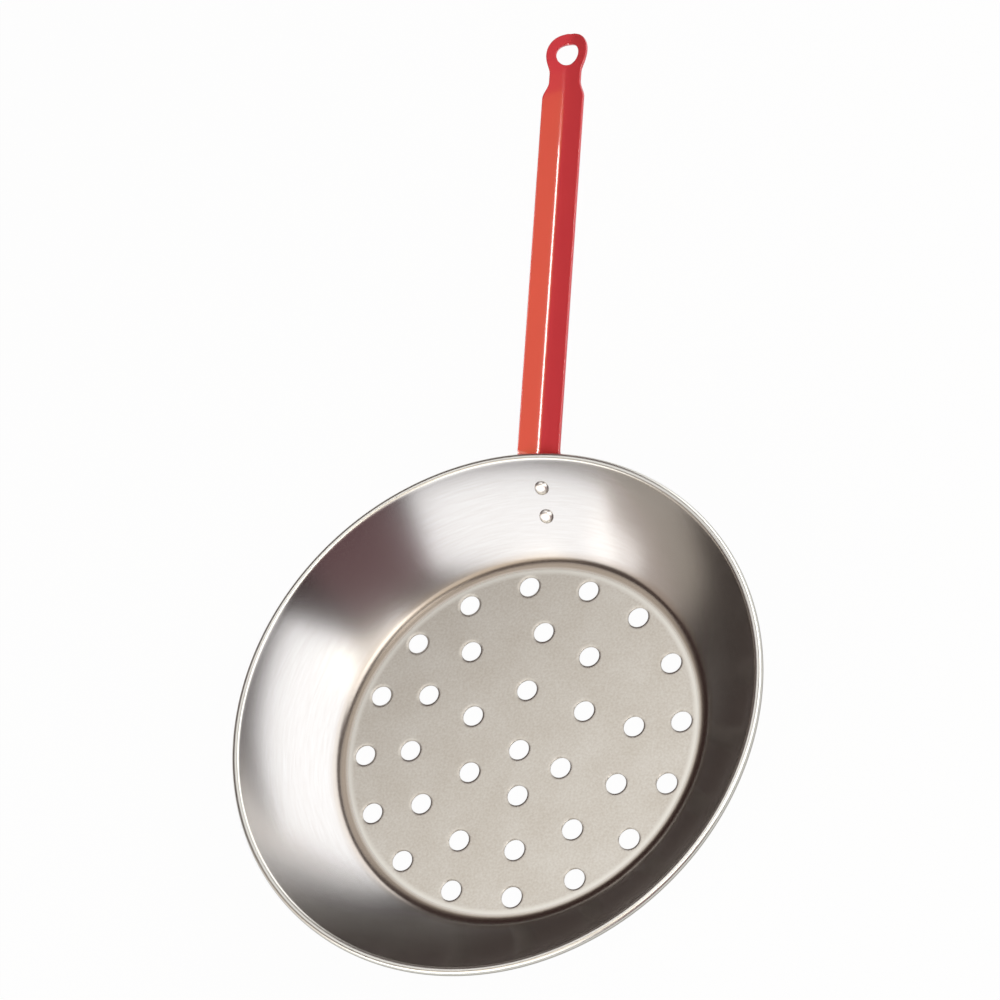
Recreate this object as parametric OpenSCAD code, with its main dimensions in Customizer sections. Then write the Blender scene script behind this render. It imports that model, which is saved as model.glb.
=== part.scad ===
// Chestnut roaster: a perforated pressed-steel pan with a riveted gutter handle.
// Millimetres. The origin is the centre of the base's underside, +Z is up and the handle runs along +Y.

/* [Pan] */
// Diameter over the rolled rim
rim_d = 278.8; // [250:0.2:320]
// Diameter of the flat base, where base and wall would meet in a sharp corner
base_d = 194.8; // [170:0.2:215]
// Height from the underside of the base to the top of the rim
pan_h = 43.3; // [38:0.1:56]
// Thickness of the pan's sheet
pan_sheet = 1; // [0.8:0.1:1.4]
// Radius of the wall's shallow bowl curve, seen in section
wall_curve_r = 180; // [140:5:400]
// Inside radius of the corner between base and wall
corner_r = 10; // [4:0.5:13]
// Diameter of the roll round the rim
bead_d = 4.3; // [3.6:0.1:5.5]
// Slit between the end of the roll and the wall
bead_slit = 0.6; // [0.3:0.1:0.9]

/* [Punched holes] */
// Diameter of the holes in the base
hole_d = 10.5; // [8:0.5:12]
// Direction of the first hole of each ring, with the handle at 90 degrees
first_hole = 7; // [0:1:22]
// Distance of the outer ring in from the corner of the base
outer_ring_in = 12.8; // [10:0.2:16]
// Number of holes in the outer ring
outer_ring_n = 16; // [12:1:18]
// Distance of the middle ring in from the outer ring
middle_ring_in = 24.8; // [20:0.2:28]
// Spacing of the middle ring in degrees
middle_ring_step = 30; // [30:5:40]
// Number of evenly spaced holes in the middle ring, ending at the first hole's direction
middle_ring_n = 9; // [5:1:9]
// Distance of the inner ring in from the middle ring
inner_ring_in = 29; // [25:0.2:31]
// Turn of the inner ring's last hole from the first hole's direction
inner_ring_turn = 270; // [255:1:285]
// Spacing of the inner ring in degrees
inner_ring_step = 60; // [45:5:60]
// Number of evenly spaced holes in the inner ring
inner_ring_n = 3; // [1:1:3]

/* [Holes punched by eye] */
// Distance of the hole near the middle from the pan's axis
near_middle_out = 6; // [4:0.5:8]
// Distance of the first stray hole of the inner ring outside that ring
inner_stray_out = 4.2; // [0:0.1:6]
// Distance of the second stray hole of the inner ring inside that ring
second_inner_stray_in = 4.3; // [0:0.1:6]
// Distance of the third stray hole of the inner ring inside that ring
third_inner_stray_in = 2.2; // [0:0.1:4]
// Distance of the first stray hole of the middle ring inside that ring
middle_stray_in = 6.1; // [0:0.1:8]
// Distance of the second stray hole of the middle ring inside that ring
second_middle_stray_in = 1.3; // [0:0.1:8]

/* [Handle] */
// Width of the handle across its gutter
handle_w = 22.8; // [18:0.1:28]
// Thickness of the handle's strip
handle_sheet = 1.5; // [1:0.1:2.5]
// Distance from the pan's axis to the hanging hole
handle_reach = 346.4; // [250:0.2:420]
// Climb of the handle above the horizontal, in degrees
handle_climb = 14.9; // [8:0.1:25]
// Slope of each side of the gutter, in degrees
gutter_fold = 17.5; // [8:0.5:25]
// Radius of the fold along the gutter's floor
fold_r = 8; // [3:0.5:12]
// Room between the rolled rim and the strip that passes under it
rim_room = 1.2; // [1:0.1:5]
// Radius of the bend from the tab to the arm
bend_r = 10; // [6:0.5:16]
// Distance before the middle of the roll at which the strip starts to fold into the gutter
fold_lead = 3.4; // [1:0.2:4]
// Length over which the strip is folded into the gutter
fold_in_l = 10; // [10:1:40]

/* [Hanging eye] */
// Diameter of the hanging hole
eye_hole_d = 12; // [8:0.5:14]
// Width of the eye
eye_w = 22.3; // [19:0.1:28]
// Length of the eye
eye_l = 25; // [20:0.5:34]
// Width of the neck before the eye
neck_w = 17.1; // [12:0.1:19]
// Rounding where the neck widens to the eye
eye_blend = 2.5; // [1:0.5:5]
// Distance from the shoulders, where the gutter is cut back, to the hanging hole
shoulder_to_hole = 24.5; // [22:0.5:40]
// Length of the cut at each shoulder
shoulder_l = 9; // [4:0.5:10]
// Radius of the eye's bend down
eye_curve_r = 83; // [40:1:200]
// Length of the bend before the hanging hole
eye_curve_lead = 10.5; // [6:0.5:14]

/* [Rivets] */
// Distance of the upper rivet from the handle's bend, along the wall
rivet_lead = 6.4; // [4.5:0.1:8]
// Distance between the rivets, along the wall
rivet_pitch = 15.5; // [12:0.1:18]
// Tab left beyond the lower rivet, along the wall
tab_end = 9; // [6:0.5:12]
// Diameter of the domed head inside the pan
head_d = 7.6; // [6:0.1:9]
// Height of the domed head
head_h = 1.9; // [1.2:0.1:2.5]
// Diameter of the riveted-over tail under the tab
tail_d = 7.6; // [6:0.1:9]
// Height of the tail
tail_h = 1.6; // [1:0.1:2.5]
// Diameter of the shank
shank_d = 4; // [3:0.1:5]

/* [Fits] */
// Gap between the wall and the tab riveted under it
tab_gap = 0.1; // [0.05:0.05:0.3]
// Gap round a shank in its holes
shank_gap = 0.05; // [0.05:0.05:0.2]
// Gap under a rivet's head and over its tail
head_gap = 0.06; // [0.05:0.01:0.2]

/* [Hidden] */
$fn = 180;

// How far a cut runs past the sheet that it goes through
cut_past = 1;

// The wall in section, as [distance from the pan's axis, height]
bead_r = bead_d / 2;
foot = [base_d / 2, pan_sheet];
bead = [rim_d / 2 - bead_r, pan_h - bead_r];
chord = norm(bead - foot);
along = (bead - foot) / chord;
across = [-along[1], along[0]];
chord_part = (pow(wall_curve_r, 2) - pow(wall_curve_r + bead_r, 2) + pow(chord, 2)) / (2 * chord);
wall_centre = foot + along * chord_part + across * sqrt(pow(wall_curve_r, 2) - pow(chord_part, 2));
corner_z = pan_sheet + corner_r;
corner_run = sqrt(pow(wall_curve_r - corner_r, 2) - pow(wall_centre[1] - corner_z, 2));
corner = [wall_centre[0] + corner_run, corner_z];
corner_slope = atan2(corner_run, wall_centre[1] - corner_z);
rim_slope = atan2(bead[0] - wall_centre[0], wall_centre[1] - bead[1]);

// The roll turns from the wall over the top and ends a slit away from the wall's outside
roll_start = 90 + rim_slope;
roll_touch = roll_start + acos((bead_r - pan_sheet) / bead_r);
roll_end = roll_touch + 2 * asin(bead_slit / bead_d);

// Parts of the section run a little into each other, so that they join to one sheet
section_lap = 0.2;
function arc_angle(l, r) = l / r * 180 / PI;

// Slope of the wall at a distance below the rim, and the point there on the wall's inside
function wall_slope(drop) = rim_slope - arc_angle(drop, wall_curve_r);
function wall_point(drop) = wall_centre + wall_curve_r * [sin(wall_slope(drop)), -cos(wall_slope(drop))];

// The handle's floor runs along the outside of the wall, bends away under the rim and climbs straight
floor_curve_r = wall_curve_r + pan_sheet + tab_gap;
arm_dir = [cos(handle_climb), sin(handle_climb)];
arm_up = [-sin(handle_climb), cos(handle_climb)];
bend_line = bead - arm_up * (bead_r + rim_room + bend_r);
bend_reach = (bend_line - wall_centre) * arm_dir;
bend_side = (bend_line - wall_centre) * arm_up;
bend_centre = bend_line + arm_dir * (sqrt(pow(floor_curve_r + bend_r, 2) - pow(bend_side, 2)) - bend_reach);
leave_slope = atan2(bend_centre[0] - wall_centre[0], wall_centre[1] - bend_centre[1]);
leave_drop = (rim_slope - leave_slope) * PI / 180 * wall_curve_r;
arm_start = bend_centre + arm_up * bend_r;

// The rivets' distances below the rim, along the wall
upper_rivet_drop = leave_drop + rivet_lead;
lower_rivet_drop = upper_rivet_drop + rivet_pitch;

// Distances along the handle's floor, from the end of the tab
tab_l = (rivet_lead + rivet_pitch + tab_end) * floor_curve_r / wall_curve_r;
bend_l = bend_r * (leave_slope - handle_climb) * PI / 180;
arm_s = tab_l + bend_l;
bead_s = arm_s + (bead - arm_start) * arm_dir;
fold_s = max(tab_l, bead_s - fold_lead);
fold_end_s = max(arm_s, fold_s + fold_in_l);
hole_s = arm_s + (handle_reach - arm_start[0]) / cos(handle_climb);
eye_curve_s = hole_s - eye_curve_lead;
shoulder_s = hole_s - shoulder_to_hole;
neck_s = shoulder_s + shoulder_l;

// The floor's point and slope at a distance s, as [distance from the axis, height, slope]
function floor_at(s) =
    s < tab_l ? tab_at(leave_slope - arc_angle(tab_l - s, floor_curve_r))
    : s < arm_s ? bend_at(leave_slope - arc_angle(s - tab_l, bend_r))
    : s < eye_curve_s ? arm_at(s)
    : eye_at(handle_climb - arc_angle(s - eye_curve_s, eye_curve_r));
function tab_at(a) = [for (v = wall_centre + floor_curve_r * [sin(a), -cos(a)]) v, a];
function bend_at(a) = [for (v = bend_centre + bend_r * [-sin(a), cos(a)]) v, a];
function arm_at(s) = [for (v = arm_start + arm_dir * (s - arm_s)) v, handle_climb];
function eye_at(a) =
    let (start = arm_start + arm_dir * (eye_curve_s - arm_s),
         centre = start - arm_up * eye_curve_r)
    [for (v = centre + eye_curve_r * [-sin(a), cos(a)]) v, a];

// How far the strip is folded at s: 0 under the rim, 1 in the gutter
function eased(t) = let (u = min(max(t, 0), 1)) u * u * (3 - 2 * u);
function folded(s) = eased((s - fold_s) / (fold_end_s - fold_s));

// Half width of the strip at s: round tab end, arm, shoulders, neck and oval eye
tab_half = handle_w / 2 / cos(gutter_fold);
function half_tab(s) = s < tab_half ? sqrt(pow(tab_half, 2) - pow(tab_half - s, 2)) : tab_half;
function half_arm(s) = tab_half + (handle_w / 2 - tab_half) * folded(s);
function half_neck(s) = (handle_w + (neck_w - handle_w) * eased((s - shoulder_s) / shoulder_l)) / 2;
function half_eye(s) = eye_w / 2 * sqrt(max(0, 1 - pow((s - hole_s) * 2 / eye_l, 2)));
function joined(a, b) = max(a, b) + pow(max(eye_blend - abs(a - b), 0), 2) / (4 * eye_blend);
function half_width(s) =
    s < tab_l ? half_tab(s)
    : s < shoulder_s ? half_arm(s)
    : s < hole_s ? joined(half_neck(s), half_eye(s))
    : half_eye(s);

// Height of the strip's upper face above its floor at x, and the lean of its side there
fold_round = fold_r * pow(tan(gutter_fold), 2);
function lift(x, k, at) =
    k * (sqrt(pow(x * tan(gutter_fold), 2) + pow(fold_round, 2)) - fold_round)
    + (1 - k) * x * x * sin(at[2]) / (2 * at[0]);
function lean(x, k, at) =
    k * x * pow(tan(gutter_fold), 2) / sqrt(pow(x * tan(gutter_fold), 2) + pow(fold_round, 2))
    + (1 - k) * x * sin(at[2]) / at[0];

// Places across the strip as shares of the half width, close together at the fold
shares_right = [0.04, 0.1, 0.18, 0.3, 0.5, 0.75, 1];
shares = concat([for (i = [len(shares_right) - 1:-1:0]) -shares_right[i]], [0], shares_right);

// One closed ring of the strip at s: the upper face from left to right, then the lower face back
function strip_ring(s) =
    let (at = floor_at(s), k = folded(s), half = half_width(s), n = len(shares))
    [for (i = [0:2 * n - 1])
        let (x = half * (i < n ? shares[i] : shares[2 * n - 1 - i]),
             tilt = atan(lean(x, k, at)),
             deep = i < n ? 0 : handle_sheet,
             side = x + deep * sin(tilt),
             up = lift(x, k, at) - deep * cos(tilt))
        [side, at[0] - up * sin(at[2]), at[1] + up * cos(at[2])]];

// Distances of the rings: closer where the strip is rounded, bent, folded or cut
stretch_rings = 6;
turn_step = 12;
function stretch(from, to) = [for (i = [1:stretch_rings]) from + (to - from) * i / stretch_rings];
end_turn = [for (a = [turn_step / 2:turn_step:90]) tab_half * (1 - cos(a))];
tip_turn = [for (a = [turn_step:turn_step:90 - turn_step / 2]) hole_s + eye_l / 2 * sin(a)];
ring_steps = concat(
    end_turn,
    stretch(tab_half, tab_l),
    fold_s > tab_l ? stretch(tab_l, fold_s) : [],
    stretch(fold_s, fold_end_s),
    [shoulder_s],
    stretch(shoulder_s, neck_s),
    stretch(neck_s, hole_s),
    tip_turn);

// Skin over rings of n points, closed at both ends by strips between the two faces
module ring_skin(rings) {
    n = len(rings[0]);
    last = (len(rings) - 1) * n;
    sides = [for (j = [0:len(rings) - 2], i = [0:n - 1])
        let (a = j * n + i, b = j * n + (i + 1) % n)
        each [[a, a + n, b], [b, a + n, b + n]]];
    caps = [for (i = [0:n / 2 - 2])
        let (a = i, b = i + 1, c = n - 2 - i, d = n - 1 - i)
        each [[a, b, d], [b, c, d], [last + b, last + a, last + d], [last + c, last + b, last + d]]];
    polyhedron([for (ring = rings) each ring], concat(sides, caps));
}

// Part of a flat ring, from one turn to another out of straight down
module ring_part(outside_r, inside_r, from, to) {
    sides = ceil((to - from) / 45);
    reach = 2 * outside_r;
    intersection() {
        difference() {
            circle(outside_r);
            circle(inside_r);
        }
        polygon(concat([[0, 0]],
            [for (i = [0:sides]) let (a = from + (to - from) * i / sides) reach * [sin(a), -cos(a)]]));
    }
}

// Cylinder through wall and tab at a rivet
module rivet_bore(drop) {
    depth = pan_sheet + tab_gap + handle_sheet;
    at = wall_point(drop);
    translate([0, at[0], at[1]])
        rotate([wall_slope(drop), 0, 0])
            translate([0, 0, -depth - cut_past])
                cylinder(d = shank_d + 2 * shank_gap, h = depth + 2 * cut_past);
}

module base_hole(r, turn) {
    rotate(first_hole + turn)
        translate([r, 0, -cut_past])
            cylinder(d = hole_d, h = pan_sheet + 2 * cut_past);
}

// Holes of the base: three rings from one first direction, and the few that were punched by eye
outer_ring_r = base_d / 2 - outer_ring_in;
middle_ring_r = outer_ring_r - middle_ring_in;
inner_ring_r = middle_ring_r - inner_ring_in;
middle_ring_gap = 360 - (middle_ring_n - 1) * middle_ring_step;
stray_holes = [
    [near_middle_out, 264],
    [inner_ring_r + inner_stray_out, 19],
    [inner_ring_r - second_inner_stray_in, 86],
    [inner_ring_r - third_inner_stray_in, 320.5],
    [middle_ring_r - middle_stray_in, middle_ring_gap * 0.417],
    [middle_ring_r - second_middle_stray_in, middle_ring_gap * 0.675]];
module base_holes() {
    for (i = [0:outer_ring_n - 1])
        base_hole(outer_ring_r, i * 360 / outer_ring_n);
    for (i = [0:middle_ring_n - 1])
        base_hole(middle_ring_r, -i * middle_ring_step);
    for (i = [0:inner_ring_n - 1])
        base_hole(inner_ring_r, inner_ring_turn - i * inner_ring_step);
    for (stray = stray_holes)
        base_hole(stray[0], stray[1]);
}

// The pan: base, corner, wall and rolled rim are one sheet of even thickness, turned round the axis
module pan_body() color("silver") {
    corner_lap = arc_angle(section_lap, corner_r);
    bead_lap = arc_angle(section_lap, bead_r);
    difference() {
        rotate_extrude() {
            square([corner[0] + section_lap, pan_sheet]);
            translate(corner)
                ring_part(corner_r + pan_sheet, corner_r, 0, corner_slope + corner_lap);
            translate(wall_centre)
                ring_part(wall_curve_r + pan_sheet, wall_curve_r, corner_slope, rim_slope);
            translate(bead)
                ring_part(bead_r, bead_r - pan_sheet, roll_end - 270, roll_start + bead_lap + 90);
        }
        base_holes();
        rivet_bore(upper_rivet_drop);
        rivet_bore(lower_rivet_drop);
    }
}

// The handle: one strip, flat and cupped under the wall, a gutter along the arm, ending in an oval eye
module handle() color("firebrick") {
    hole_at = floor_at(hole_s);
    difference() {
        ring_skin([for (s = ring_steps) strip_ring(s)]);
        translate([0, hole_at[0], hole_at[1]])
            rotate([hole_at[2], 0, 0])
                cylinder(d = eye_hole_d, h = eye_w, center = true);
        rivet_bore(upper_rivet_drop);
        rivet_bore(lower_rivet_drop);
    }
}

// Half section of a dome that stands on the axis
module half_dome(d, h) {
    ball_r = (d * d / 4 + h * h) / (2 * h);
    intersection() {
        translate([0, h - ball_r])
            circle(ball_r);
        square([d, h]);
    }
}

// A rivet, set square to the wall: domed head inside, shank, tail riveted over under the tab
module rivet(drop) {
    at = wall_point(drop);
    tail_z = -(pan_sheet + tab_gap + handle_sheet + head_gap);
    translate([0, at[0], at[1]])
        rotate([wall_slope(drop), 0, 0])
            rotate_extrude() {
                translate([0, head_gap])
                    half_dome(head_d, head_h);
                translate([0, tail_z - tail_h / 2])
                    square([shank_d / 2, head_gap + head_h / 2 - tail_z + tail_h / 2]);
                translate([0, tail_z])
                    mirror([0, 1])
                        half_dome(tail_d, tail_h);
            }
}

module upper_rivet() color("gainsboro") rivet(upper_rivet_drop);
module lower_rivet() color("gainsboro") rivet(lower_rivet_drop);

pan_body();
handle();
upper_rivet();
lower_rivet();
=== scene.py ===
from math import acos, asin, atan, atan2, cos, hypot, pi, radians, sin, sqrt, tan

import bmesh
import bpy
from mathutils import Matrix, Vector


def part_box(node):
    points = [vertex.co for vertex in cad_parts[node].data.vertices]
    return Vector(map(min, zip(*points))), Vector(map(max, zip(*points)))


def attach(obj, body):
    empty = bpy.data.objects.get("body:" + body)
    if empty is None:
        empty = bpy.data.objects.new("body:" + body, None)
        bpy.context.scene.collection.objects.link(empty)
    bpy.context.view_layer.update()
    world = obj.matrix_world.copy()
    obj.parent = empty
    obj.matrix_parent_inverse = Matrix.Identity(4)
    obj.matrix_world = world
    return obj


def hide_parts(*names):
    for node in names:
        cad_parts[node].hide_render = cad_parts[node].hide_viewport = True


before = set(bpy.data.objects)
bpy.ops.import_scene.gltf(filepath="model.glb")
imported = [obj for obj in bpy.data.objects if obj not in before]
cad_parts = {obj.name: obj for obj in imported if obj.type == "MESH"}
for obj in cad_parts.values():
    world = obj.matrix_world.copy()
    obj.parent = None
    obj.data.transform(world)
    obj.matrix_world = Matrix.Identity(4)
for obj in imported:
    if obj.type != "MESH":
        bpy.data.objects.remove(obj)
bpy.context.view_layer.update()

# The pan body
# One round of mild steel sheet, pressed to a flat base and a flared bowl wall, its edge rolled outwards.
# The base is punched with rings of holes, and the wall is polished on a lathe.
mm = 0.001
pan_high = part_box("pan_body")[1]
rim_r = pan_high[0]
pan_h = pan_high[2]
pan_sheet = 1 * mm
base_r = 97.4 * mm
corner_r = 10 * mm
wall_curve_r = 180 * mm
bead_r = 2.15 * mm
bead_slit = 0.6 * mm

# The wall's section: a foot corner, a shallow bowl curve and the roll, each tangent to the next
foot = Vector((base_r, pan_sheet))
bead = Vector((rim_r - bead_r, pan_h - bead_r))
chord = bead - foot
chord_part = (wall_curve_r ** 2 - (wall_curve_r + bead_r) ** 2 + chord.length_squared) / (2 * chord.length)
across = Vector((-chord.y, chord.x)).normalized()
wall_centre = foot + chord.normalized() * chord_part + across * sqrt(wall_curve_r ** 2 - chord_part ** 2)
corner_z = pan_sheet + corner_r
corner_run = sqrt((wall_curve_r - corner_r) ** 2 - (wall_centre.y - corner_z) ** 2)
corner_x = wall_centre.x + corner_run
corner_slope = atan2(corner_run, wall_centre.y - corner_z)
rim_slope = atan2(bead.x - wall_centre.x, wall_centre.y - bead.y)
roll_gap = acos((bead_r - pan_sheet) / bead_r) + 2 * asin(bead_slit / (2 * bead_r))

# The holes: three rings from one first direction, and the few that were punched by eye, as (radius, turn)
hole_r = 5.25 * mm
hole_sides = 48
first_hole = radians(7)
outer_ring_r = 84.6 * mm
outer_ring_n = 16
middle_ring_r = 59.8 * mm
middle_ring_n = 9
middle_ring_step = 30
inner_ring_r = 30.8 * mm
inner_ring_n = 3
inner_ring_step = 60
inner_ring_turn = 270
near_middle_r = 6 * mm
hole_places = [(outer_ring_r, radians(360 * i / outer_ring_n)) for i in range(outer_ring_n)]
hole_places += [(middle_ring_r, radians(-middle_ring_step * i)) for i in range(middle_ring_n)]
hole_places += [(inner_ring_r, radians(inner_ring_turn - inner_ring_step * i)) for i in range(inner_ring_n)]
hole_places += [(near_middle_r, radians(264)), (inner_ring_r + 4.2 * mm, radians(19))]
hole_places += [(inner_ring_r - 4.3 * mm, radians(86)), (inner_ring_r - 2.2 * mm, radians(320.5))]
hole_places += [(middle_ring_r - 6.1 * mm, radians(50)), (middle_ring_r - 1.3 * mm, radians(81))]


def turn_wire(mesh, end, centre, axis, angle, steps):
    """Turns the last point of a wire about a centre in the section, and returns the new last point."""
    made = bmesh.ops.spin(
        mesh, geom=[end], cent=(centre[0], 0, centre[1]), axis=axis, angle=angle, steps=steps)
    return next(e for e in made["geom_last"] if isinstance(e, bmesh.types.BMVert))


def finish_mesh(name, mesh):
    """Makes an object at the origin from a bmesh, smooth shaded."""
    data = bpy.data.meshes.new(name)
    mesh.to_mesh(data)
    mesh.free()
    data.shade_smooth()
    piece = bpy.data.objects.new(name, data)
    bpy.context.scene.collection.objects.link(piece)
    return piece


# The section as a wire, from a narrow ring of the base over corner, wall and roll, spun round the pan's axis
up_turn = (0, -1, 0)
over_turn = (0, 1, 0)
corner_steps = 10
wall_steps = 36
roll_steps = 40
round_steps = 288
foot_ring = 2 * mm
pan_mesh = bmesh.new()
end = pan_mesh.verts.new((corner_x - foot_ring, 0, pan_sheet))
end = bmesh.ops.extrude_vert_indiv(pan_mesh, verts=[end])["verts"][0]
end.co.x = corner_x
end = turn_wire(pan_mesh, end, (corner_x, corner_z), up_turn, corner_slope, corner_steps)
end = turn_wire(pan_mesh, end, wall_centre, up_turn, rim_slope - corner_slope, wall_steps)
turn_wire(pan_mesh, end, bead, over_turn, 2 * pi - roll_gap, roll_steps)
bmesh.ops.spin(
    pan_mesh, geom=pan_mesh.verts[:] + pan_mesh.edges[:], cent=(0, 0, 0), axis=(0, 0, 1),
    angle=2 * pi, steps=round_steps, use_merge=True)
base_edges = [e for e in pan_mesh.edges
              if e.is_boundary and all(hypot(v.co.x, v.co.y) < corner_x - foot_ring / 2 for v in e.verts)]

# The punch draws the sheet's face down round each hole, as (distance from the edge, depth). The sheet is
# thinner there, by a little more than the depth, so that its underside doesn't come out below the base.
draw_in = [(2 * mm, 0), (1.5 * mm, 0), (1 * mm, 0.02 * mm), (0.5 * mm, 0.1 * mm), (0, 0.25 * mm)]
thinning = 1.15
share = pan_mesh.verts.layers.deform.verify()
for v in pan_mesh.verts:
    v[share][0] = 1
for ring_r, turn in hole_places:
    loops = []
    for out, deep in draw_in:
        place = (Matrix.Rotation(first_hole + turn, 4, "Z")
                 @ Matrix.Translation((ring_r, 0, pan_sheet - deep)))
        made = bmesh.ops.create_circle(pan_mesh, segments=hole_sides, radius=hole_r + out, matrix=place)
        for v in made["verts"]:
            v[share][0] = 1 - thinning * deep / pan_sheet
        loops.append(list(dict.fromkeys(e for v in made["verts"] for e in v.link_edges)))
    for outer, inner in zip(loops, loops[1:]):
        bmesh.ops.bridge_loops(pan_mesh, edges=outer + inner)
    base_edges += loops[0]
bmesh.ops.triangle_fill(pan_mesh, use_beauty=True, edges=base_edges, normal=(0, 0, 1))
bmesh.ops.recalc_face_normals(pan_mesh, faces=pan_mesh.faces[:])
base_face = min(pan_mesh.faces, key=lambda f: f.calc_center_median().xy.length)
if base_face.normal.z < 0:
    bmesh.ops.reverse_faces(pan_mesh, faces=pan_mesh.faces[:])
pan_body = finish_mesh("pan_body_sheet", pan_mesh)

# The sheet's thickness, then a little rounding on every punched and cut edge
pan_body.vertex_groups.new(name="sheet_share")
thickness = pan_body.modifiers.new("sheet", "SOLIDIFY")
thickness.vertex_group = "sheet_share"
thickness.thickness = pan_sheet
thickness.offset = -1
thickness.use_even_offset = True
edges = pan_body.modifiers.new("edges", "BEVEL")
edges.limit_method = "ANGLE"
edges.angle_limit = radians(60)
edges.width = 0.2 * mm
edges.segments = 2
edges.harden_normals = True


def linear(hex_colour):
    """A colour as a shader takes it, from an sRGB hex value."""
    parts = [int(hex_colour[i:i + 2], 16) / 255 for i in (1, 3, 5)]
    return [p / 12.92 if p <= 0.04045 else ((p + 0.055) / 1.055) ** 2.4 for p in parts] + [1]


def add_node(material, kind, sockets, **settings):
    """Adds a node, with its settings, and with a value or a link for each socket named."""
    tree = material.node_tree
    made = tree.nodes.new(kind)
    for name, value in settings.items():
        setattr(made, name, value)
    for name, value in sockets.items():
        if isinstance(value, bpy.types.NodeSocket):
            tree.links.new(value, made.inputs[name])
        else:
            made.inputs[name].default_value = value
    return made


def new_material(name):
    """An empty node material with a Principled shader."""
    material = bpy.data.materials.new(name)
    material.use_nodes = True
    return material, material.node_tree.nodes["Principled BSDF"]


# Polished mild steel: the wall has fine turning marks that run round it, and the base is duller,
# with the even grain of the rolled sheet.
steel, shader = new_material("polished_mild_steel")
links = steel.node_tree.links
place = add_node(steel, "ShaderNodeTexCoord", {}).outputs["Object"]
flat_place = add_node(
    steel, "ShaderNodeVectorMath", {0: place, 1: (1, 1, 0)}, operation="MULTIPLY").outputs["Vector"]
radius = add_node(steel, "ShaderNodeVectorMath", {0: flat_place}, operation="LENGTH").outputs["Value"]
heading = add_node(steel, "ShaderNodeVectorMath", {0: flat_place}, operation="NORMALIZE").outputs["Vector"]

# Where each finish begins, as the distances from the pan's axis between which it fades in
# The edge band is a painted highlight and the corner line is painted shade
finish_starts = {
    "edge": (corner_x - 3.5 * mm, corner_x - 1.5 * mm),
    "corner": (corner_x - 1 * mm, corner_x + 1.5 * mm),
    "wall": (corner_x + 3 * mm, corner_x + 9 * mm),
    "roll": (rim_r - 2 * bead_r, rim_r - 2 * bead_r + 0.6 * mm)}
reaches = {}
for finish, (start, full) in finish_starts.items():
    reaches[finish] = add_node(
        steel, "ShaderNodeMapRange",
        {"Value": radius, "From Min": start, "From Max": full}).outputs["Result"]

# Turning marks: spaced down the wall, each about 16 mm long round it. Real ones are 0.1 mm apart and
# are drawn at 0.9 mm, because finer ones don't show.
mark_spacing = 0.9 * mm
mark_turns = 7
height = add_node(steel, "ShaderNodeSeparateXYZ", {0: place}).outputs["Z"]
down_wall = add_node(steel, "ShaderNodeMath", {0: radius, 1: height}, operation="ADD").outputs[0]
mark_step = add_node(
    steel, "ShaderNodeMath", {0: down_wall, 1: 1 / mark_spacing}, operation="MULTIPLY").outputs[0]
round_step = add_node(
    steel, "ShaderNodeVectorMath", {0: heading, "Scale": mark_turns}, operation="SCALE").outputs["Vector"]
round_parts = add_node(steel, "ShaderNodeSeparateXYZ", {0: round_step})
mark_place = add_node(
    steel, "ShaderNodeCombineXYZ",
    {"X": round_parts.outputs["X"], "Y": round_parts.outputs["Y"], "Z": mark_step}).outputs[0]
marks = add_node(
    steel, "ShaderNodeTexNoise",
    {"Vector": mark_place, "Scale": 1, "Detail": 3, "Roughness": 0.6}).outputs["Fac"]

# The sheet's grain, drawn 1.2 mm across so that it shows, and its cloudy tone, 25 mm across. The grain ends
# where the press draws the sheet over the corner.
grain_w = 1.2 * mm
cloud_w = 25 * mm
grain = add_node(
    steel, "ShaderNodeTexNoise", {"Vector": place, "Scale": 1 / grain_w, "Detail": 3}).outputs["Fac"]
cloud = add_node(
    steel, "ShaderNodeTexNoise", {"Vector": place, "Scale": 1 / cloud_w, "Detail": 3}).outputs["Fac"]
grain_depth = add_node(
    steel, "ShaderNodeMapRange", {"Value": grain, "From Min": 0.3, "From Max": 0.7}).outputs["Result"]
flattened = add_node(
    steel, "ShaderNodeMix", {"Factor": reaches["corner"], "A": grain_depth, "B": 0.5}).outputs["Result"]
mottle = add_node(steel, "ShaderNodeMix", {"Factor": 0.4, "A": cloud, "B": flattened}).outputs["Result"]
base_tone = add_node(
    steel, "ShaderNodeMix",
    {"Factor": mottle, "A": linear("#b7afa1"), "B": linear("#d7d5cd")}, data_type="RGBA").outputs["Result"]
mark_depth = add_node(
    steel, "ShaderNodeMapRange", {"Value": marks, "From Min": 0.2, "From Max": 0.8}).outputs["Result"]
wall_tone = add_node(
    steel, "ShaderNodeMix",
    {"Factor": mark_depth, "A": linear("#acaaa8"), "B": linear("#b3b3b3")},
    data_type="RGBA").outputs["Result"]

# From the middle outwards, as (finish, tone, roughness): a bright band of painted highlight along the base's
# edge, a brown line of painted shade in the corner, the polished wall and the bright roll
base_rough = 0.285
finishes = [
    ("edge", linear("#dddbd2"), base_rough), ("corner", linear("#9c9184"), 0.25),
    ("wall", wall_tone, 0.22), ("roll", linear("#dadad3"), 0.3)]
tone, rough = base_tone, base_rough
for finish, finish_tone, finish_rough in finishes:
    tone = add_node(
        steel, "ShaderNodeMix", {"Factor": reaches[finish], "A": tone, "B": finish_tone},
        data_type="RGBA").outputs["Result"]
    rough = add_node(
        steel, "ShaderNodeMix",
        {"Factor": reaches[finish], "A": rough, "B": finish_rough}).outputs["Result"]
links.new(tone, shader.inputs["Base Color"])
links.new(rough, shader.inputs["Roughness"])
relief = add_node(
    steel, "ShaderNodeBump",
    {"Height": flattened, "Strength": 0.15, "Distance": 0.02 * mm}).outputs["Normal"]
links.new(relief, shader.inputs["Normal"])
shader.inputs["Metallic"].default_value = 1
pan_body.data.materials.append(steel)
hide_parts("pan_body")
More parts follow.
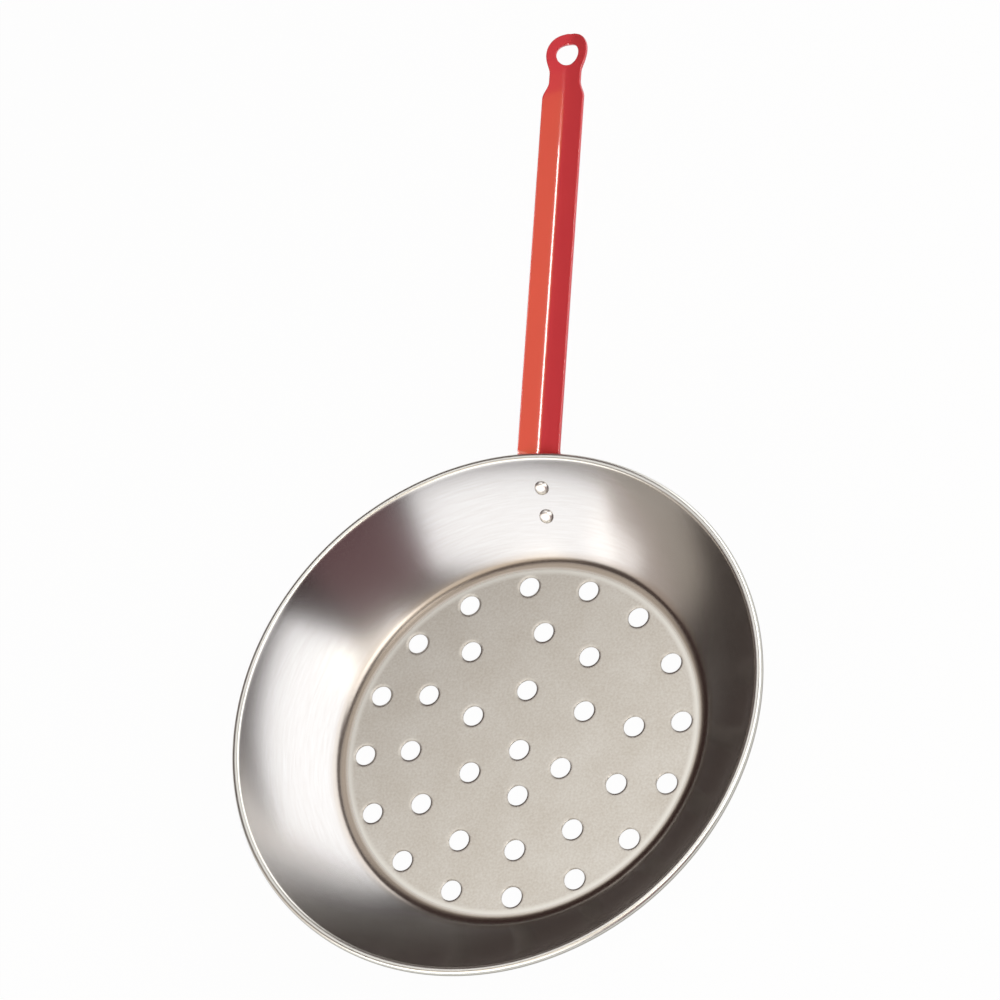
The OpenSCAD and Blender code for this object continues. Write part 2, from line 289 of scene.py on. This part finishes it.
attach(pan_body, "root")

# The handle
# One strip of steel, cut flat, folded to a shallow gutter, and bent to lie under the wall, where it is
# riveted. Its far end is drawn in to a neck and a hanging eye. It is painted glossy red.
handle_w = 22.8 * mm
handle_sheet = 1.5 * mm
handle_reach = 346.4 * mm
handle_climb = radians(14.9)
gutter_fold = radians(17.5)
fold_r = 8 * mm
rim_room = 1.2 * mm
bend_r = 10 * mm
fold_lead = 3.4 * mm
fold_in_l = 8 * mm
eye_hole_r = 6 * mm
eye_w = 22.3 * mm
eye_l = 25 * mm
neck_w = 17.1 * mm
eye_blend = 2.5 * mm
shoulder_to_hole = 24.5 * mm
shoulder_l = 9 * mm
eye_curve_r = 83 * mm
eye_curve_lead = 10.5 * mm
rivet_lead = 6.4 * mm
rivet_pitch = 15.5 * mm
tab_end = 9 * mm
tab_gap = 0.1 * mm

# Its floor runs along the wall's outside, bends away under the rim, climbs straight and dips at the eye
floor_curve_r = wall_curve_r + pan_sheet + tab_gap
arm_dir = Vector((cos(handle_climb), sin(handle_climb)))
arm_up = Vector((-sin(handle_climb), cos(handle_climb)))
bend_line = bead - arm_up * (bead_r + rim_room + bend_r)
bend_reach = (bend_line - wall_centre).dot(arm_dir)
bend_side = (bend_line - wall_centre).dot(arm_up)
bend_centre = bend_line + arm_dir * (sqrt((floor_curve_r + bend_r) ** 2 - bend_side ** 2) - bend_reach)
leave_slope = atan2(bend_centre.x - wall_centre.x, wall_centre.y - bend_centre.y)
leave_drop = (rim_slope - leave_slope) * wall_curve_r
arm_start = bend_centre + arm_up * bend_r
tab_l = (rivet_lead + rivet_pitch + tab_end) * floor_curve_r / wall_curve_r
arm_s = tab_l + bend_r * (leave_slope - handle_climb)
fold_s = arm_s + (bead - arm_start).dot(arm_dir) - fold_lead
hole_s = arm_s + (handle_reach - arm_start.x) / cos(handle_climb)
eye_curve_s = hole_s - eye_curve_lead
shoulder_s = hole_s - shoulder_to_hole
eye_centre = arm_start + arm_dir * (eye_curve_s - arm_s) - arm_up * eye_curve_r


def floor_at(s):
    """The floor's point, out from the pan's axis and up, and its slope, at a distance s along it."""
    if s < tab_l:
        slope = leave_slope - (tab_l - s) / floor_curve_r
        return wall_centre + floor_curve_r * Vector((sin(slope), -cos(slope))), slope
    if s < arm_s:
        slope = leave_slope - (s - tab_l) / bend_r
        return bend_centre + bend_r * Vector((-sin(slope), cos(slope))), slope
    if s < eye_curve_s:
        return arm_start + arm_dir * (s - arm_s), handle_climb
    slope = handle_climb - (s - eye_curve_s) / eye_curve_r
    return eye_centre + eye_curve_r * Vector((-sin(slope), cos(slope))), slope


def eased(t):
    """A smooth step from 0 to 1."""
    t = min(max(t, 0), 1)
    return t * t * (3 - 2 * t)


tab_half = handle_w / 2 / cos(gutter_fold)


def half_width(s):
    """Half the width of the strip at s: round tab end, arm, shoulders, neck and oval eye."""
    if s < tab_half:
        return sqrt(tab_half ** 2 - (tab_half - s) ** 2)
    if s < shoulder_s:
        return tab_half + (handle_w / 2 - tab_half) * eased((s - fold_s) / fold_in_l)
    eye = eye_w / 2 * sqrt(max(0, 1 - ((s - hole_s) * 2 / eye_l) ** 2))
    if s > hole_s:
        return eye
    neck = (handle_w + (neck_w - handle_w) * eased((s - shoulder_s) / shoulder_l)) / 2
    return max(neck, eye) + max(eye_blend - abs(neck - eye), 0) ** 2 / (4 * eye_blend)


fold_round = fold_r * tan(gutter_fold) ** 2


def folded_point(x, s, deep):
    """Where a point of the flat strip lies once it is folded and bent; deep is its depth in the sheet."""
    floor, slope = floor_at(s)
    fold = eased((s - fold_s) / fold_in_l)
    side_rise = hypot(x * tan(gutter_fold), fold_round)
    lift = fold * (side_rise - fold_round) + (1 - fold) * x * x * sin(slope) / (2 * floor.x)
    lean = atan(fold * x * tan(gutter_fold) ** 2 / side_rise + (1 - fold) * x * sin(slope) / floor.x)
    up = lift - deep * cos(lean)
    return Vector((x + deep * sin(lean), floor.x - up * sin(slope), floor.y + up * cos(slope)))


# The flat strip: a grid with rows close together at its round ends, cut to its outline
turn_step = radians(5)
quarter_turn = 18
row_step = 1.2 * mm
end_rows = [tab_half * (1 - cos(turn_step * (i + 0.5))) for i in range(quarter_turn)]
tip_rows = [hole_s + eye_l / 2 * sin(turn_step * i) for i in range(1, quarter_turn)]
arm_rows = round((hole_s - tab_half) / row_step)
mid_rows = [tab_half + (hole_s - tab_half) * i / arm_rows for i in range(arm_rows + 1)]
rows = end_rows + mid_rows + tip_rows
columns = 28
strip = bmesh.new()
bmesh.ops.create_grid(strip, x_segments=columns, y_segments=len(rows) - 1, size=1)
for v in strip.verts:
    s = rows[round((v.co.y + 1) / 2 * (len(rows) - 1))]
    side = v.co.x * sqrt(abs(v.co.x))
    v.co = (side * half_width(s), s, 0)
bmesh.ops.solidify(strip, geom=strip.faces[:], thickness=handle_sheet)
top = max(v.co.z for v in strip.verts)
bmesh.ops.translate(strip, vec=(0, 0, -top), verts=strip.verts[:])
bmesh.ops.recalc_face_normals(strip, faces=strip.faces[:])


def round_sharp_edges(mesh, width, sharp=radians(60)):
    """Rounds every edge at which two faces meet at more than the sharp angle."""
    sharp_edges = [e for e in mesh.edges if len(e.link_faces) == 2 and e.calc_face_angle() > sharp]
    bmesh.ops.bevel(
        mesh, geom=sharp_edges, offset=width, segments=3, profile=0.5, affect="EDGES", material=-1)


# The hanging hole is punched through the flat strip, and all cut edges are rounded by the paint
eye_hole_sides = 72
paint_round = 0.3 * mm
handle = finish_mesh("handle_strip", strip)
punch_mesh = bmesh.new()
bmesh.ops.create_cone(
    punch_mesh, cap_ends=True, segments=eye_hole_sides, radius1=eye_hole_r, radius2=eye_hole_r,
    depth=4 * handle_sheet, matrix=Matrix.Translation((0, hole_s, 0)))
punch = finish_mesh("eye_punch", punch_mesh)
cut = handle.modifiers.new("hanging_hole", "BOOLEAN")
cut.object = punch
cut.solver = "EXACT"
bpy.context.view_layer.update()
strip = bmesh.new()
strip.from_object(handle, bpy.context.evaluated_depsgraph_get())
handle.modifiers.remove(cut)
bpy.data.objects.remove(punch)
round_sharp_edges(strip, paint_round)
for v in strip.verts:
    v.co = folded_point(v.co.x, v.co.y, -v.co.z)
bmesh.ops.recalc_face_normals(strip, faces=strip.faces[:])
strip.to_mesh(handle.data)
strip.free()
handle.data.shade_smooth()
handle.data.set_sharp_from_angle(angle=radians(50))

# Stoved gloss paint over steel: a clean red with a hard shine and the faint waviness of a sprayed coat,
# 4 mm across, whose depth drifts over 30 mm
wave_w = 4 * mm
drift_w = 30 * mm
paint, shader = new_material("red_gloss_paint")
links = paint.node_tree.links
place = add_node(paint, "ShaderNodeTexCoord", {}).outputs["Object"]
waviness = add_node(
    paint, "ShaderNodeTexNoise", {"Vector": place, "Scale": 1 / wave_w, "Detail": 1}).outputs["Fac"]
depth_of_coat = add_node(
    paint, "ShaderNodeTexNoise", {"Vector": place, "Scale": 1 / drift_w, "Detail": 2}).outputs["Fac"]
red = add_node(
    paint, "ShaderNodeMix",
    {"Factor": depth_of_coat, "A": linear("#cb4150"), "B": linear("#d34752")},
    data_type="RGBA").outputs["Result"]
links.new(red, shader.inputs["Base Color"])
relief = add_node(
    paint, "ShaderNodeBump", {"Height": waviness, "Strength": 0.3, "Distance": 0.01 * mm}).outputs["Normal"]
links.new(relief, shader.inputs["Normal"])
shader.inputs["Roughness"].default_value = 0.15
shader.inputs["Coat Weight"].default_value = 1
shader.inputs["Coat Roughness"].default_value = 0.03
handle.data.materials.append(paint)
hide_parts("handle")
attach(handle, "root")

# The rivets
# Two steel rivets, set square to the wall: a domed head inside the pan, a shank through wall and tab,
# and a tail hammered over under the tab.
head_r = 3.8 * mm
head_h = 1.9 * mm
tail_r = 3.8 * mm
tail_h = 1.6 * mm
shank_r = 2 * mm
head_gap = 0.06 * mm
head_flatness = 3
head_steps = 12
tail_steps = 10
rivet_sides = 48
rivet_round = 0.15 * mm
tail_z = -(pan_sheet + tab_gap + handle_sheet + head_gap)


def rivet(name, drop):
    """One rivet at a distance below the rim, along the wall."""
    slope = rim_slope - drop / wall_curve_r
    wall_at = wall_centre + wall_curve_r * Vector((sin(slope), -cos(slope)))
    head_ball = (head_r ** 2 + head_h ** 2) / (2 * head_h)
    tail_ball = (tail_r ** 2 + tail_h ** 2) / (2 * tail_h)
    mesh = bmesh.new()
    end = mesh.verts.new((0, 0, head_gap + head_h))
    end = turn_wire(
        mesh, end, (0, head_gap + head_h - head_ball), over_turn, asin(head_r / head_ball), head_steps)
    for corner in [(shank_r, head_gap), (shank_r, tail_z), (tail_r, tail_z)]:
        end = bmesh.ops.extrude_vert_indiv(mesh, verts=[end])["verts"][0]
        end.co = (corner[0], 0, corner[1])
    turn_wire(
        mesh, end, (0, tail_z - tail_h + tail_ball), over_turn, asin(tail_r / tail_ball), tail_steps)
    bmesh.ops.spin(
        mesh, geom=mesh.verts[:] + mesh.edges[:], cent=(0, 0, 0), axis=(0, 0, 1),
        angle=2 * pi, steps=rivet_sides, use_merge=True)
    bmesh.ops.remove_doubles(mesh, verts=mesh.verts[:], dist=0.001 * mm)
    # The setting tool leaves the top of the head a little flat; the dome's points start just over the gap
    for v in mesh.verts:
        if v.co.z > head_gap + 0.01 * mm:
            out = v.co.xy.length / head_r
            v.co.z = head_gap + head_h * sqrt(max(0, 1 - out ** head_flatness))
    bmesh.ops.recalc_face_normals(mesh, faces=mesh.faces[:])
    round_sharp_edges(mesh, rivet_round)
    bmesh.ops.transform(
        mesh, matrix=Matrix.Translation((0, wall_at.x, wall_at.y)) @ Matrix.Rotation(slope, 4, "X"),
        verts=mesh.verts[:])
    return finish_mesh(name, mesh)


# Bright steel, with the small dents, 2.5 mm across, and the dull patches that the hammer leaves
dent_w = 2.5 * mm
bright, shader = new_material("hammered_bright_steel")
links = bright.node_tree.links
place = add_node(bright, "ShaderNodeTexCoord", {}).outputs["Object"]
dents = add_node(
    bright, "ShaderNodeTexNoise", {"Vector": place, "Scale": 1 / dent_w, "Detail": 2}).outputs["Fac"]
rough = add_node(
    bright, "ShaderNodeMapRange", {"Value": dents, "To Min": 0.28, "To Max": 0.4}).outputs["Result"]
links.new(rough, shader.inputs["Roughness"])
relief = add_node(
    bright, "ShaderNodeBump", {"Height": dents, "Strength": 0.5, "Distance": 0.06 * mm}).outputs["Normal"]
links.new(relief, shader.inputs["Normal"])
shader.inputs["Base Color"].default_value = linear("#e8e5e0")
shader.inputs["Metallic"].default_value = 1
upper_drop = leave_drop + rivet_lead
rivets = []
for name, drop in [("upper_rivet", upper_drop), ("lower_rivet", upper_drop + rivet_pitch)]:
    piece = rivet(name + "_steel", drop)
    rivets.append(piece)
    piece.data.materials.append(bright)
    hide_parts(name)
    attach(piece, "root")

# The floor
# A plain white table. To the camera, and in reflections away from the pan, it is nearly white by itself, and
# it keeps a faint shadow. Under and beside the pan, reflections show it shaded.
table_half = 10
table_z = -0.2 * mm
shade_r = base_r + 200 * mm
own_white = 0.97
floor_mesh = bmesh.new()
bmesh.ops.create_grid(
    floor_mesh, x_segments=1, y_segments=1, size=table_half, matrix=Matrix.Translation((0, 0, table_z)))
table = finish_mesh("table", floor_mesh)
white, shader = new_material("white_table")
links = white.node_tree.links
shader.inputs["Roughness"].default_value = 0.8
ray = add_node(white, "ShaderNodeLightPath", {})
mirrored = add_node(
    white, "ShaderNodeMath",
    {0: ray.outputs["Is Glossy Ray"], 1: ray.outputs["Is Transmission Ray"]},
    operation="MAXIMUM").outputs[0]
place = add_node(white, "ShaderNodeTexCoord", {}).outputs["Object"]
from_pan = add_node(white, "ShaderNodeVectorMath", {0: place}, operation="LENGTH").outputs["Value"]
unshaded = add_node(
    white, "ShaderNodeMapRange",
    {"Value": from_pan, "From Min": base_r, "From Max": shade_r}).outputs["Result"]
mirrored = add_node(white, "ShaderNodeMath", {0: mirrored, 1: unshaded}, operation="MULTIPLY").outputs[0]
pale = add_node(
    white, "ShaderNodeMath", {0: ray.outputs["Is Camera Ray"], 1: unshaded}, operation="MAXIMUM").outputs[0]
colour = add_node(
    white, "ShaderNodeMix",
    {"Factor": pale, "A": linear("#5f5750"), "B": linear("#f0efed")}, data_type="RGBA").outputs["Result"]
links.new(colour, shader.inputs["Base Color"])
seen = add_node(
    white, "ShaderNodeMath", {0: ray.outputs["Is Camera Ray"], 1: mirrored}, operation="MAXIMUM").outputs[0]
glow = add_node(white, "ShaderNodeMath", {0: seen, 1: own_white}, operation="MULTIPLY").outputs[0]
light = add_node(white, "ShaderNodeEmission", {"Color": (1, 1, 1, 1), "Strength": 1}).outputs[0]
mixed = add_node(white, "ShaderNodeMixShader", {0: glow, 1: shader.outputs[0], 2: light}).outputs[0]
links.new(mixed, white.node_tree.nodes["Material Output"].inputs["Surface"])
table.data.materials.append(white)

# The studio light
# A dim room, two large soft boxes whose reflections make the bright patches on the wall, and weaker panels
# for the tones between them. Four panels light the pan alone, and a strip and a panel the handle alone.
world = bpy.data.worlds.new("dim_studio")
world.use_nodes = True
background = world.node_tree.nodes["Background"]
background.inputs["Color"].default_value = linear("#452f30")
background.inputs["Strength"].default_value = 1
bpy.context.scene.world = world


def soft_box(name, direction, distance, size, radiance, aim=(0, 0, 0.02), turn=0, colour="#ffffff"):
    """A rectangular lamp that looks at the pan; radiance is how bright its face looks."""
    lamp = bpy.data.lights.new(name, "AREA")
    lamp.shape = "RECTANGLE"
    lamp.size, lamp.size_y = size
    lamp.energy = radiance * pi * size[0] * size[1]
    lamp.color = linear(colour)[:3]
    lamp_object = bpy.data.objects.new(name, lamp)
    way = Vector(direction).normalized()
    facing = way.to_track_quat("Z", "Y").to_matrix().to_4x4()
    lamp_object.matrix_world = (
        Matrix.Translation(Vector(aim) + way * distance) @ facing @ Matrix.Rotation(turn, 4, "Z"))
    lamp_object.visible_camera = False
    bpy.context.scene.collection.objects.link(lamp_object)
    return lamp_object


def heading_of(around, above):
    """The direction of a lamp from its degrees round the pan and above the table."""
    around, above = radians(around), radians(above)
    return cos(above) * cos(around), cos(above) * sin(around), sin(above)


lamp_distance = 1.5
overhead = (0, -0.001, 1)
soft_box("right_box", heading_of(43, 27.5), lamp_distance, (3.5, 0.92), 2.35, turn=radians(-13))
soft_box("front_box", heading_of(254, 27), lamp_distance, (2.0, 0.9), 2.15, turn=radians(8))
soft_box("side_panel", heading_of(206, 16), lamp_distance, (1.0, 0.7), 0.9, colour="#eee0d4")
soft_box("camera_side_panel", heading_of(297, 62), lamp_distance, (3.0, 0.6), 1.5, colour="#fff4e4")
soft_box("dim_panel", heading_of(314, 26), lamp_distance, (1.0, 0.9), 0.19, colour="#ffc0c8")
foot_panel = soft_box("foot_panel", heading_of(212, 19), lamp_distance, (0.3, 0.3), 1.4)
low_panel = soft_box("low_panel", heading_of(350, 60), lamp_distance, (1.0, 0.5), 2.8)
back_panel = soft_box("back_panel", heading_of(134, 66), lamp_distance, (1.8, 0.8), 1.2)
rim_panel = soft_box("rim_panel", overhead, lamp_distance, (0.4, 0.4), 2.4)
gloss_strip = soft_box("gloss_strip", overhead, 0.9, (0.1, 0.95), 18, aim=(-0.13, -0.14, 0))
gloss_strip.visible_diffuse = False
warm_panel = soft_box(
    "warm_panel", overhead, 0.92, (0.77, 0.95), 1.15, aim=(0.03, -0.1, 0), colour="#ffc840")
pan_only = bpy.data.collections.new("pan_only")
for piece in [pan_body] + rivets:
    pan_only.objects.link(piece)
handle_only = bpy.data.collections.new("handle_only")
handle_only.objects.link(handle)
for lamp_object in (foot_panel, low_panel, back_panel, rim_panel):
    lamp_object.light_linking.receiver_collection = pan_only
for lamp_object in (gloss_strip, warm_panel):
    lamp_object.light_linking.receiver_collection = handle_only

# The camera
# A long lens above the pan, turned so that the handle points up in the picture.
camera_data = bpy.data.cameras.new("camera")
camera_data.lens = 126
camera_data.sensor_width = 36
camera = bpy.data.objects.new("camera", camera_data)
target = Vector((-11.74, 108.76, 50)) * mm
camera_distance = 1757.6 * mm
azimuth = radians(-46.445)
elevation = radians(54.51)
roll = radians(38.72)
away = Vector((cos(elevation) * cos(azimuth), cos(elevation) * sin(azimuth), sin(elevation)))
camera.matrix_world = (
    Matrix.Translation(target + away * camera_distance)
    @ away.to_track_quat("Z", "Y").to_matrix().to_4x4() @ Matrix.Rotation(-roll, 4, "Z"))
bpy.context.scene.collection.objects.link(camera)
bpy.context.scene.camera = camera
bpy.context.scene.view_settings.view_transform = "Standard"
